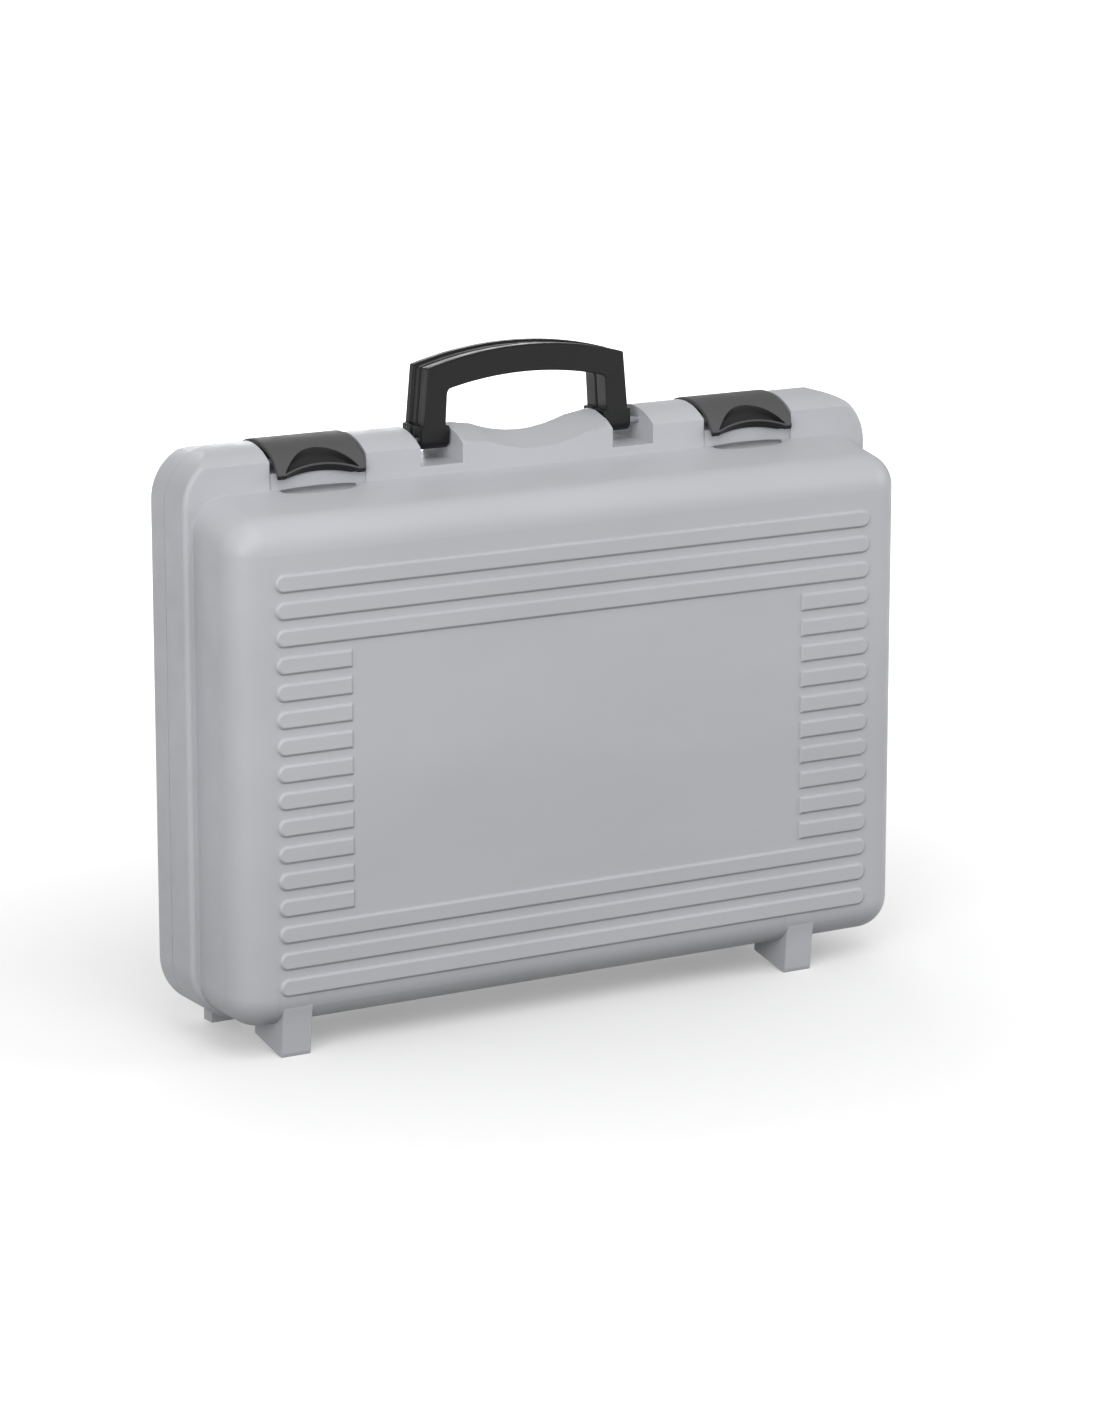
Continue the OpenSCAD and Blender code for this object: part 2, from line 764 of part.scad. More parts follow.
// The round rim of the lip, which arches up to its middle
module lip_rim() {
  half = latch_w / 2;
  r = (pow(half, 2) + pow(lip_arch, 2)) / (2 * lip_arch);
  intersection() {
    on_bend(lip_face, bend_r - latch_t / 2) translate([0, lip_arch - r, 0])
      rotate_extrude($fn = 180) translate([r, 0]) circle(rim_r);
    translate([-half, -60, z_latch_floor - 20]) cube([latch_w, 60, 60]);
  }
}

// What the arched lip leaves out of the flap
module lip_cut() {
  half = latch_w / 2;
  r = (pow(half, 2) + pow(lip_arch, 2)) / (2 * lip_arch);
  on_bend(lip_face, bend_r - latch_t / 2) translate([0, lip_arch - r, -5])
    cylinder(r = r, h = 12, $fn = 180);
}

// The thumb scoop's cutter: a ring that is much flatter across the flap than along it
module scoop_cut() {
  ring_r = pow(scoop_w / 2, 2) / (2 * scoop_d);
  on_bend(scoop_angle, bend_r) translate([0, 0, ring_r - scoop_d]) rotate([90, 0, 0])
    rotate_extrude($fn = 180) translate([ring_r - scoop_round, 0]) circle(scoop_round);
}

// Barrel round the latch pin, with a web up to the flap
module latch_barrel_section() {
  translate([latch_pivot_y, z_latch_pivot]) circle(latch_boss_r);
  intersection() {
    translate([latch_pivot_y - latch_boss_r, z_latch_pivot]) square([2 * latch_boss_r, 12]);
    translate([0, z_crown_axis]) circle(flap_r - latch_t / 2);
  }
}

// The hook that goes down in front of the catch, with a barb at its foot
module hook_section() {
  foot = z_latch_floor + 1.6;
  barb_z = z_latch_pivot - 2;
  intersection() {
    polygon([[-hook_y, barb_z + 20], [-hook_y - hook_t, barb_z + 20], [-hook_y - hook_t, foot],
      [-hook_y, foot], [-hook_y + bead, foot + 1], [-hook_y + bead, barb_z - 0.4], [-hook_y, barb_z]]);
    translate([0, z_crown_axis]) circle(flap_r - latch_t / 2);
  }
}

module latch_form() {
  barrel_w = 14;
  color(part_black) translate([0, y_part, 0]) difference() {
    union() {
      difference() {
        union() {
          along_x(latch_w) flap_section();
          // Backing that keeps the wall behind the thumb scoop
          translate([0, 0, z_crown_axis]) along_x(scoop_w + 4) translate(bend_c)
            ring_slice(bend_r - latch_t + eps, bend_r - latch_t - scoop_d + 0.4, bend_angle, lip_angle - 16);
        }
        lip_cut();
        scoop_cut();
      }
      lip_rim();
      both_sides() translate([(latch_w - barrel_w) / 2, 0, 0]) along_x(barrel_w) latch_barrel_section();
      along_x(hook_w) hook_section();
    }
    translate([0, latch_pivot_y, z_latch_pivot]) rotate([0, 90, 0])
      cylinder(r = latch_pin_r + pin_clear, h = latch_w + 2, center = true);
  }
}

module left_latch() {
  translate([-latch_x, 0, 0]) latch_form();
}

module right_latch() {
  translate([latch_x, 0, 0]) latch_form();
}

// A steel pin along X with a small chamfer at each end
module pin(r, length) {
  c = 0.4;
  color(pin_steel) rotate([0, 90, 0]) {
    cylinder(r = r, h = length - 2 * c, center = true);
    for (flip = [0, 1]) mirror([0, 0, flip]) translate([0, 0, length / 2 - c])
      cylinder(r1 = r, r2 = r - c, h = c);
  }
}

module left_hinge_pin() {
  translate([-hinge_x, y_part, z_hinge]) pin(hinge_pin_r, hinge_pin_l);
}

module right_hinge_pin() {
  translate([hinge_x, y_part, z_hinge]) pin(hinge_pin_r, hinge_pin_l);
}

latch_pin_l = pocket_l + 2 * (wall + boss_l);
handle_pin_l = pocket_w + 2 * (wall + boss_l);

module left_latch_pin() {
  translate([-latch_x, y_part + latch_pivot_y, z_latch_pivot]) pin(latch_pin_r, latch_pin_l);
}

module right_latch_pin() {
  translate([latch_x, y_part + latch_pivot_y, z_latch_pivot]) pin(latch_pin_r, latch_pin_l);
}

module front_left_handle_pin() {
  translate([-pocket_mid, y_part - handle_y, z_handle]) pin(handle_pin_r, handle_pin_l);
}

module front_right_handle_pin() {
  translate([pocket_mid, y_part - handle_y, z_handle]) pin(handle_pin_r, handle_pin_l);
}

module rear_left_handle_pin() {
  translate([-pocket_mid, y_part + handle_y, z_handle]) pin(handle_pin_r, handle_pin_l);
}

module rear_right_handle_pin() {
  translate([pocket_mid, y_part + handle_y, z_handle]) pin(handle_pin_r, handle_pin_l);
}

front_shell();
rear_shell();
front_handle();
rear_handle();
left_latch();
right_latch();
left_hinge_pin();
right_hinge_pin();
left_latch_pin();
right_latch_pin();
front_left_handle_pin();
front_right_handle_pin();
rear_left_handle_pin();
rear_right_handle_pin();
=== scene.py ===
import math

import bmesh
import bpy
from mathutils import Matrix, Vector


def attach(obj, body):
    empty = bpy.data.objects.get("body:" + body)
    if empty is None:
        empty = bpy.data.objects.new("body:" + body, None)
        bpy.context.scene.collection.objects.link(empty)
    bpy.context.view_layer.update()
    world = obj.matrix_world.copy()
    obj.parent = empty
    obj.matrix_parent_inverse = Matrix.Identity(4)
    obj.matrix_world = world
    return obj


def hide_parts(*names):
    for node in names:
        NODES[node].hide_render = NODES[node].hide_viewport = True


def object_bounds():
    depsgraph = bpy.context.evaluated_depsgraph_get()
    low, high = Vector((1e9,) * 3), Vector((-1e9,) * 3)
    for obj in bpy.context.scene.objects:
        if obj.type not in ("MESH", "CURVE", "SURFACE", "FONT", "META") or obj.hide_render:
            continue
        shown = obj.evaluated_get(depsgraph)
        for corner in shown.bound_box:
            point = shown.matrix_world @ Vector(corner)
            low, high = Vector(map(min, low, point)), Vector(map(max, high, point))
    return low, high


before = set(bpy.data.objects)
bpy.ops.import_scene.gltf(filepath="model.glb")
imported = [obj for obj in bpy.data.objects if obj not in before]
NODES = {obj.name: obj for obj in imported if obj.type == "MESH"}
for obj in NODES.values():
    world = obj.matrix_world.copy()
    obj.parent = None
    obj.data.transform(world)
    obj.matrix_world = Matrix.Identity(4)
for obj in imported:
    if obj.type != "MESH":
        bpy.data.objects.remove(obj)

CAD_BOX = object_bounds()

# Camera, worked out from the photo's perspective: the case is seen from the front, from the
# left and from a little above
CAMERA_AT = (-1.27412, -2.17037, 0.74208)
CAMERA_TILT = 76.99
CAMERA_TURN = -30.54
CAMERA_LENS = 118.15
CAMERA_SENSOR = 36
CAMERA_REACH = 50

# Colours in linear light
CASE_GREY = (0.470, 0.477, 0.502)
HANDLE_BLACK = (0.006, 0.0062, 0.0065)
LATCH_CHARCOAL = (0.086, 0.086, 0.088)
# The thumb scoop and the lip's end face are the flap's own charcoal plastic. This darker colour on them
# is painted shade.
SCOOP_PAINTED_SHADE = (0.026, 0.026, 0.027)
STEEL_GREY = (0.56, 0.57, 0.59)
FLOOR_WHITE = (0.62, 0.62, 0.62)
FLOOR_BOUNCE = (0.16, 0.16, 0.16)

# Lamps: name, place, side and power in watts. They all point at the case's middle.
LAMPS = (
    ("key", (-0.3, -1.1, 1.6), 1.2, 12),
    ("front", (-1.9, -1.6, 1.0), 1.4, 30),
    ("side", (1.9, -1.0, 0.9), 1.2, 14),
    ("back", (0.7, 2.5, 0.8), 1.4, 24),
)
CASE_MIDDLE = (0, 0, 0.17)
WORLD_LIGHT = 0.46

# The floor: half its side, its own glow beside the case, and how far from the case that glow
# starts to grow and reaches plain white
FLOOR_REACH = 8
GLOW_NEAR = 0.27
GLOW_FROM = 0.1
GLOW_TO = 1.3

# Softened edges: points closer than the seam are joined first, faces within the flat angle (in
# degrees) are merged, and edges sharper than the soft angle are rounded
SEAM = 0.00006
FLAT_ANGLE = 0.05
SOFT_ANGLE = 32
LATCH_SOFT_ANGLE = 28
SHELL_SOFT = 0.0005
HANDLE_SOFT = 0.0008
LATCH_SOFT = 0.0003
# Radius over which the shading turns at a moulded edge, and the samples that it takes
EDGE_ROUND = 0.0009
EDGE_SAMPLES = 6

# Millimetres from here to the finger hollows. The crown's axis lies in the parting plane.
MM = 0.001
PARTING_Y = 24.5
CROWN_AXIS_Z = 285.5
LATCH_X = 136

# The latch flap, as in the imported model: half its width, its thickness, the radii of its face
# over the crown and round the bend, how far its tail lies behind the parting plane and the bend's
# start in front of it, how far the middle of its lip arches up, and the rounding of its sides
FLAP_HALF = 26.5
FLAP_T = 2.8
FLAP_R = 38
BEND_R = 24
TAIL_REACH = 13.5
BEND_REACH = 18
LIP_RISE = 4.5
SIDE_ROUND = 0.6
# Its section is measured about the crown's axis, with angles from upright towards the front
TAIL_ANGLE = -math.asin(TAIL_REACH / FLAP_R)
BEND_FROM = math.asin(BEND_REACH / FLAP_R)
LIP_ANGLE = math.radians(68)
BEND_AXIS_Y = -(FLAP_R - BEND_R) * math.sin(BEND_FROM)
BEND_AXIS_Z = (FLAP_R - BEND_R) * math.cos(BEND_FROM)

# The latch's barrels: the pin's place, their radius, bore and length, the step in from the
# flap's side, and how far their webs reach into the flap
PIVOT = (9.0, 29.0)
BARREL_R = 4.2
BORE_R = 1.65
BARREL_W = 14
BARREL_STEP = 0.3
WEB_SINK = 0.6
BORE_OVERRUN = 2

# The hook behind the flap: half its width, its back face, its thickness, the heights of its foot
# and of its barb, how far the barb stands out, and the depths in the flap of its top's two ends
HOOK_HALF = 12
HOOK_Y = -16.9
HOOK_T = 3
HOOK_FOOT = 24.1
HOOK_BARB = 27
BARB_OUT = 0.8
BARB_UNDER = 1
BARB_OVER = 0.4
HOOK_BACK_DEPTH = 3.9
HOOK_FRONT_DEPTH = 4.3

# The thumb scoop: half its width, its height over the rim of the lip at its ends and what its
# middle adds, its depth there and at its top, and the wall left behind it
SCOOP_HALF = 22
SCOOP_LEAST = 0.5
SCOOP_RISE = 10.6
SCOOP_DEEP = 4.1
SCOOP_TOP = 3.6
SCOOP_WALL = 1.2
# The height at which the scoop has its full depth, the length over which the flap thickens above
# it, and the shares of its height that its slopes at the top and at the rim take up
SCOOP_RAMP = 2.8
WALL_RAMP = 2.5
TOP_SLOPE = 0.2
RIM_SLOPE = 0.07
# The rim of the lip: its width, how far it stands proud, its rounding, and how far the lip's
# end face leans out to its inner edge
RIM_W = 1.1
RIM_PROUD = 0.2
RIM_ROUND = 0.5
LIP_LEAN = 1.6

# The body's lower front edge: its axis, its radius and the steps that it is drawn in
EDGE_Y = -27
EDGE_Z = 35.5
BODY_R = 19
EDGE_STEPS = 24

# The front feet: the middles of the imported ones, the step to the right of the new ones, half
# their width, their rounding with its steps and the sharpest edge (in degrees) that it leaves,
# their height up into the body, and the front of their outline in Y and Z from the tip up
FOOT_XS = (-178.7, 142.2)
FOOT_SHIFT = 3.2
FOOT_HALF = 8.7
FOOT_ROUND = 1.3
FOOT_ROUND_STEPS = 3
FOOT_ROUND_ANGLE = 40
FOOT_TOP = 28
FOOT_FRONT = ((-40.9, 0), (-41.5, 2), (-42, 8), (-42.5, 14), (-43, 19), (-43.7, 23.5), (-44.6, FOOT_TOP))
# The rest of the outline: where it turns into the body's wall, how deep it goes there, and its
# slope from the back down to the tip
FOOT_TURN_Y = -43
FOOT_SINK = 1.3
FOOT_BACK = -9.5
FOOT_BACK_Z = 5.8
TIP_BACK = -38.5

# The cut that takes a packed foot away, just outside the body, and the patch that closes the wall
# where that foot was hollow, just inside it
CUT_HALF = 9
CUT_FRONT = -50
CUT_BACK = FOOT_BACK + 1
CUT_LOW = -1
CUT_TOP = 34.9
CUT_CLEAR = 0.05
PATCH_HALF = 8.2
PATCH_TOP = 34.8
PATCH_SINK = 0.06
PATCH_WALL = 2

# The finger hollows in the body's top: the recess wall that they start from, their height, their
# reach to the sides, forwards, backwards, up and down, the fall of the body's top, and the facets
# round a hollow
RECESS_Y = 2.7
HOLLOW_Z = 297.2
HOLLOW_HALF = 28
HOLLOW_FRONT = 12
HOLLOW_BACK = 5
HOLLOW_UP = 2.2
HOLLOW_DOWN = 2.6
TOP_FALL = math.tan(math.radians(11))
HOLLOW_FACETS = 48
# The wall added under a hollow, and its height over the hollow's middle
HOLLOW_WALL = 1.5
HOLLOW_BRIM = 0.5

SHELLS = ["front_shell", "rear_shell"]
HANDLES = ["front_handle", "rear_handle"]
PINS = [name for name in NODES if name.endswith("_pin")]
# Each latch: its node, the body that it belongs to and its middle
LATCHES = [("left_latch", "left_catch", -LATCH_X), ("right_latch", "right_catch", LATCH_X)]


class Graph:
    """A material's node tree, with short calls for the nodes that the finishes share."""

    def __init__(self, name):
        self.material = bpy.data.materials.new(name)
        self.material.use_nodes = True
        self.nodes = self.material.node_tree.nodes
        self.links = self.material.node_tree.links
        self.shader = self.nodes["Principled BSDF"]
        self.place = self.nodes.new("ShaderNodeTexCoord").outputs["Object"]

    def stretch(self, scale):
        """Object coordinates, scaled differently along each axis."""
        mapping = self.nodes.new("ShaderNodeMapping")
        mapping.inputs["Scale"].default_value = scale
        self.links.new(self.place, mapping.inputs["Vector"])
        return mapping.outputs["Vector"]

    def noise(self, size, detail=2.0, roughness=0.5, vector=None):
        """Noise whose grains are about size metres across."""
        texture = self.nodes.new("ShaderNodeTexNoise")
        texture.inputs["Scale"].default_value = 1 / size
        texture.inputs["Detail"].default_value = detail
        texture.inputs["Roughness"].default_value = roughness
        self.links.new(vector or self.place, texture.inputs["Vector"])
        return texture.outputs["Fac"]

    def spread(self, value, low, high, low_in=0.3, high_in=0.7):
        """Maps a value, noise as a rule, to a range of numbers."""
        node = self.nodes.new("ShaderNodeMapRange")
        node.inputs["From Min"].default_value = low_in
        node.inputs["From Max"].default_value = high_in
        node.inputs["To Min"].default_value = low
        node.inputs["To Max"].default_value = high
        self.links.new(value, node.inputs["Value"])
        return node.outputs["Result"]

    def tint(self, value, dark, light):
        """Mixes two colours by a noise value."""
        ramp = self.nodes.new("ShaderNodeValToRGB")
        ramp.color_ramp.elements[0].position = 0.35
        ramp.color_ramp.elements[0].color = (*dark, 1)
        ramp.color_ramp.elements[1].position = 0.65
        ramp.color_ramp.elements[1].color = (*light, 1)
        self.links.new(value, ramp.inputs["Fac"])
        return ramp.outputs["Color"]

    def blend(self, value, first, second):
        """Mixes two colour outputs by a value."""
        mix = self.nodes.new("ShaderNodeMix")
        mix.data_type = "RGBA"
        self.links.new(value, mix.inputs["Factor"])
        self.links.new(first, mix.inputs["A"])
        self.links.new(second, mix.inputs["B"])
        return mix.outputs["Result"]

    def bump(self, height, depth, strength=1.0, base=None):
        """A bump of the given depth, on top of another one."""
        node = self.nodes.new("ShaderNodeBump")
        node.inputs["Distance"].default_value = depth
        node.inputs["Strength"].default_value = strength
        self.links.new(height, node.inputs["Height"])
        if base:
            self.links.new(base, node.inputs["Normal"])
        return node.outputs["Normal"]

    def rounded(self, radius):
        """Normals that turn softly over every edge, within the radius."""
        node = self.nodes.new("ShaderNodeBevel")
        node.samples = EDGE_SAMPLES
        node.inputs["Radius"].default_value = radius
        return node.outputs["Normal"]

    def feed(self, socket, output):
        """Joins an output to a socket of the shader."""
        self.links.new(output, self.shader.inputs[socket])


def shade(colour, factor):
    """The colour, darker or lighter by the factor."""
    return tuple(channel * factor for channel in colour)


def moulded_plastic(name, colour, grain, grain_depth, rough, contrast=0.04, specular=0.5):
    """Injection-moulded plastic: an eroded grain, faint clouds of colour and a slightly uneven
    gloss."""
    g = Graph(name)
    flow = g.noise(0.09, 3.0, 0.5, g.stretch((0.35, 1, 1)))
    g.feed("Base Color", g.tint(flow, shade(colour, 1 - contrast), shade(colour, 1 + contrast)))
    g.feed("Roughness", g.spread(g.noise(0.012, 4.0), rough - 0.05, rough + 0.06))
    waves = g.bump(g.noise(0.03, 1.0), 0.00006, 0.5, g.rounded(EDGE_ROUND))
    g.feed("Normal", g.bump(g.noise(grain, 3.0, 0.6), grain_depth, 0.6, waves))
    g.shader.inputs["IOR"].default_value = 1.49
    g.shader.inputs["Specular IOR Level"].default_value = specular
    return g.material


def turned_steel(name):
    """Drawn steel wire with fine rings round it and a dull film."""
    g = Graph(name)
    rings = g.noise(0.0004, 2.0, 0.6, g.stretch((1, 0.15, 0.15)))
    film = g.noise(0.004, 4.0)
    g.feed("Base Color", g.tint(film, shade(STEEL_GREY, 0.9), shade(STEEL_GREY, 1.06)))
    g.feed("Roughness", g.spread(film, 0.26, 0.38))
    g.feed("Normal", g.bump(rings, 0.00002, 0.5))
    g.shader.inputs["Metallic"].default_value = 1.0
    return g.material


def dress(names, material):
    """Gives the material to every slot of the named nodes."""
    for name in names:
        node = NODES[name]
        if not node.material_slots:
            node.data.materials.append(material)
        for slot in node.material_slots:
            slot.material = material


def add_object(name, data):
    """A new object in the scene, at the origin."""
    added = bpy.data.objects.new(name, data)
    bpy.context.scene.collection.objects.link(added)
    return added


def finished(name, b):
    """The mesh that a bmesh has been built up to."""
    mesh = bpy.data.meshes.new(name)
    b.to_mesh(mesh)
    b.free()
    return mesh


def modified(piece):
    """A new mesh of the piece as its modifiers leave it."""
    bpy.context.view_layer.update()
    ready = piece.evaluated_get(bpy.context.evaluated_depsgraph_get())
    return bpy.data.meshes.new_from_object(ready)


def combine(piece, other, operation):
    """Joins another mesh to the piece, or cuts it out, and applies all the piece's modifiers."""
    tool = add_object("tool", other)
    cut = piece.modifiers.new("Join", "BOOLEAN")
    cut.object = tool
    cut.operation = operation
    cut.solver = "EXACT"
    result = modified(piece)
    piece.modifiers.clear()
    piece.data = result
    bpy.data.objects.remove(tool)


def even_shading(piece):
    """Lets the large faces decide how light runs over the small ones beside them."""
    normals = piece.modifiers.new("Even shading", "WEIGHTED_NORMAL")
    normals.keep_sharp = True


def round_edges(piece, width, angle, segments=2, clamp=True):
    """Rounds every edge of the piece that is sharper than the angle."""
    bevel = piece.modifiers.new("Round edges", "BEVEL")
    bevel.limit_method = "ANGLE"
    bevel.angle_limit = math.radians(angle)
    bevel.width = width
    bevel.segments = segments
    bevel.use_clamp_overlap = clamp
    bevel.harden_normals = True
    even_shading(piece)


def soften(piece, width, clamp=True):
    """Rounds the sharp edges of a moulded piece."""
    weld = piece.modifiers.new("Join seams", "WELD")
    weld.merge_threshold = SEAM
    flat = piece.modifiers.new("Merge flats", "DECIMATE")
    flat.decimate_type = "DISSOLVE"
    flat.angle_limit = math.radians(FLAT_ANGLE)
    round_edges(piece, width, SOFT_ANGLE, clamp=clamp)


def about_crown(x, y, z):
    """A place in metres from X and from Y and Z about the crown's axis, all in millimetres."""
    return x * MM, (PARTING_Y + y) * MM, (CROWN_AXIS_Z + z) * MM


def extruded(outline, x0, x1):
    """A closed mesh between x0 and x1 from an outline in Y and Z about the crown's axis."""
    b = bmesh.new()
    ends = [[b.verts.new(about_crown(x, y, z)) for y, z in outline] for x in (x0, x1)]
    count = len(outline)
    for i in range(count):
        k = (i + 1) % count
        b.faces.new((ends[0][i], ends[0][k], ends[1][k], ends[1][i]))
    for end in ends:
        b.faces.new(end)
    bmesh.ops.recalc_face_normals(b, faces=b.faces[:])
    return finished("extrusion", b)


def extruded_in_case(outline, x0, x1):
    """The same from an outline in the case's own Y and Z."""
    return extruded([(y - PARTING_Y, z - CROWN_AXIS_Z) for y, z in outline], x0, x1)


def arc(centre, r, start=0, end=2 * math.pi, steps=48):
    """Points along an arc, up to the last step before its end."""
    turns = [start + (end - start) * i / steps for i in range(steps)]
    return [(centre[0] + r * math.cos(turn), centre[1] + r * math.sin(turn)) for turn in turns]


class Flap:
    """The latch flap: a plate over the crown and round the bend, with a thumb scoop and an
    arched lip. It is laid out in rows from its tail to its lip and in columns across it."""

    # Rows above the scoop, rows of the scoop as shares of its height, and steps round the lip
    TOP_ROWS = 26
    SCOOP_ROWS = (0, 0.03, 0.08, 0.14, 0.2, 0.26, 0.36, 0.46, 0.56, 0.66, 0.76, 0.84, 0.9, 0.93, 0.97, 1)
    ROUND_STEPS = 4
    # Columns beside the scoop, by their distance from the flap's side, and in half the scoop
    SIDE_COLUMNS = (0, 0.06, 0.25, 0.6, 1.6, 3.2)
    SCOOP_COLUMNS = 34

    def __init__(self):
        self.crown_length = FLAP_R * (BEND_FROM - TAIL_ANGLE)
        self.length = self.crown_length + BEND_R * (LIP_ANGLE - BEND_FROM)
        side = [FLAP_HALF - x for x in self.SIDE_COLUMNS]
        turns = [math.pi / 2 * i / self.SCOOP_COLUMNS for i in range(self.SCOOP_COLUMNS, 0, -1)]
        half = side + [SCOOP_HALF * math.sin(turn) for turn in turns]
        self.columns = [-x for x in half] + [0] + half[::-1]

    def point(self, s, depth):
        """The place in Y and Z at the length s from the tail, at a depth below the face."""
        if s < self.crown_length:
            y, z, r = 0, 0, FLAP_R - depth
            angle = TAIL_ANGLE + s / FLAP_R
        else:
            y, z, r = BEND_AXIS_Y, BEND_AXIS_Z, BEND_R - depth
            angle = BEND_FROM + (s - self.crown_length) / BEND_R
        return y - r * math.sin(angle), z + r * math.cos(angle)

    def column(self, u):
        """The outer and the inner row points (s, depth) of the section at u."""
        into_round = max(abs(u) - FLAP_HALF + SIDE_ROUND, 0)
        inset = SIDE_ROUND - math.sqrt(max(SIDE_ROUND ** 2 - into_round ** 2, 0))
        share = max(1 - (u / SCOOP_HALF) ** 2, 0)
        lip = self.length - LIP_RISE * share - inset - LIP_LEAN / 2
        height = SCOOP_LEAST + SCOOP_RISE * share
        top = lip - RIM_W - height
        reach = min(1, (height - SCOOP_LEAST) / SCOOP_RAMP)
        thick_top = max(FLAP_T, SCOOP_TOP * reach + SCOOP_WALL)
        thick_lip = max(FLAP_T, SCOOP_DEEP * reach + SCOOP_WALL)
        outer, inner = [], []
        for i in range(self.TOP_ROWS):
            s = inset + (top - inset) * i / self.TOP_ROWS
            near = max(0, 1 - (top - s) / WALL_RAMP)
            outer.append((s, inset))
            inner.append((s, FLAP_T - inset + near * (thick_top - FLAP_T)))
        for t in self.SCOOP_ROWS:
            s = top + height * t
            deep = (SCOOP_TOP + (SCOOP_DEEP - SCOOP_TOP) * t) * reach
            slope = max(min(1, t / TOP_SLOPE, (1 - t) / RIM_SLOPE), 0)
            outer.append((s, inset + deep * slope if share > 0 else inset))
            inner.append((s, max(FLAP_T, deep + SCOOP_WALL) - inset))
        for i in range(self.ROUND_STEPS + 1):
            turn = math.pi / 2 * i / self.ROUND_STEPS
            s = lip - RIM_ROUND + RIM_ROUND * math.sin(turn)
            fall = RIM_ROUND * (1 - math.cos(turn))
            outer.append((s, inset - RIM_PROUD + fall))
            inner.append((s + LIP_LEAN, thick_lip - inset - fall))
        return outer, inner

    def mesh(self, middle):
        """A closed mesh of the flap. The scoop and the lip's end have the second material, a darker
        colour that paints shade on them.
        """
        b = bmesh.new()
        outer, inner = [], []
        for u in self.columns:
            for grid, path in zip((outer, inner), self.column(u)):
                places = [self.point(s, depth) for s, depth in path]
                grid.append([b.verts.new(about_crown(middle + u, y, z)) for y, z in places])
        last_row = len(outer[0]) - 1
        last_column = len(self.columns) - 1
        scoop_rows = range(self.TOP_ROWS, self.TOP_ROWS + len(self.SCOOP_ROWS) - 1)
        for j in range(last_column):
            across = abs(self.columns[j] + self.columns[j + 1]) / 2
            for i in range(last_row):
                for grid in (outer, inner):
                    ring = [grid[j][i], grid[j + 1][i], grid[j + 1][i + 1], grid[j][i + 1]]
                    face = b.faces.new(ring[::-1] if grid is outer else ring)
                    # Faces in the scoop get the second material, painted shade.
                    gets_painted_shade = grid is outer and i in scoop_rows and across < SCOOP_HALF
                    face.material_index = 1 if gets_painted_shade else 0
            # The lip's end face gets the painted shade as well. The tail's end keeps the latch plastic.
            for i in (0, last_row):
                ring = [outer[j][i], outer[j + 1][i], inner[j + 1][i], inner[j][i]]
                face = b.faces.new(ring[::-1] if i else ring)
                face.material_index = 1 if i else 0
        for j in (0, last_column):
            for i in range(last_row):
                ring = [outer[j][i], outer[j][i + 1], inner[j][i + 1], inner[j][i]]
                b.faces.new(ring[::-1] if j else ring)
        bmesh.ops.recalc_face_normals(b, faces=b.faces[:])
        return finished("flap", b)


def under_bend(y, depth):
    """Height at y of a line at the given depth below the face of the flap's bend."""
    return BEND_AXIS_Z + math.sqrt((BEND_R - depth) ** 2 - (y - BEND_AXIS_Y) ** 2)


def barrel_outline():
    """A latch barrel round the pin, with its web up into the flap."""
    y, z = PIVOT
    under = FLAP_R - FLAP_T + WEB_SINK
    web = [(at, math.sqrt(under ** 2 - at ** 2)) for at in (
        y + BARREL_R, y + BARREL_R / 2, y, y - BARREL_R / 2, y - BARREL_R)]
    return arc(PIVOT, BARREL_R, math.pi, 2 * math.pi) + [(y + BARREL_R, z)] + web


def hook_outline():
    """The hook that snaps over the catch: a plate down from the bend, with a barb behind its foot."""
    front = HOOK_Y - HOOK_T
    return [(front, HOOK_FOOT), (HOOK_Y, HOOK_FOOT), (HOOK_Y + BARB_OUT, HOOK_FOOT + BARB_UNDER),
            (HOOK_Y + BARB_OUT, HOOK_BARB - BARB_OVER), (HOOK_Y, HOOK_BARB),
            (HOOK_Y, under_bend(HOOK_Y, HOOK_BACK_DEPTH)), (front, under_bend(front, HOOK_FRONT_DEPTH))]


def latch_piece(node, body, middle, materials):
    """The latch with its full thumb scoop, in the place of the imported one: the flap, the two
    barrels for the pin and the hook."""
    piece = add_object(f"{node}_flap", Flap().mesh(middle))
    for material in materials:
        piece.data.materials.append(material)
    for x0, x1 in ((BARREL_STEP - FLAP_HALF, BARREL_W - FLAP_HALF),
                   (FLAP_HALF - BARREL_W, FLAP_HALF - BARREL_STEP)):
        combine(piece, extruded(barrel_outline(), middle + x0, middle + x1), "UNION")
    combine(piece, extruded(hook_outline(), middle - HOOK_HALF, middle + HOOK_HALF), "UNION")
    bore = arc(PIVOT, BORE_R)
    combine(piece, extruded(bore, middle - FLAP_HALF - BORE_OVERRUN, middle + FLAP_HALF + BORE_OVERRUN),
            "DIFFERENCE")
    for face in piece.data.polygons:
        face.use_smooth = True
    round_edges(piece, LATCH_SOFT, LATCH_SOFT_ANGLE, 1)
    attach(piece, body)
    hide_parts(node)


def under_body(r, top):
    """The body's lower front edge at the radius r, below the height top, in Y and Z."""
    turns = [math.pi / 2 * i / EDGE_STEPS for i in range(EDGE_STEPS + 1)]
    points = [(EDGE_Y - r * math.cos(turn), EDGE_Z - r * math.sin(turn)) for turn in turns]
    return [point for point in points if point[1] < top]


def foot_cut(middle):
    """All that lies round a packed front foot, outside the body."""
    edge = under_body(BODY_R + CUT_CLEAR, CUT_TOP)
    outline = [(CUT_FRONT, CUT_LOW), (CUT_FRONT, CUT_TOP), *edge, (CUT_BACK, edge[-1][1]),
               (CUT_BACK, CUT_LOW)]
    return extruded_in_case(outline, middle - CUT_HALF, middle + CUT_HALF)


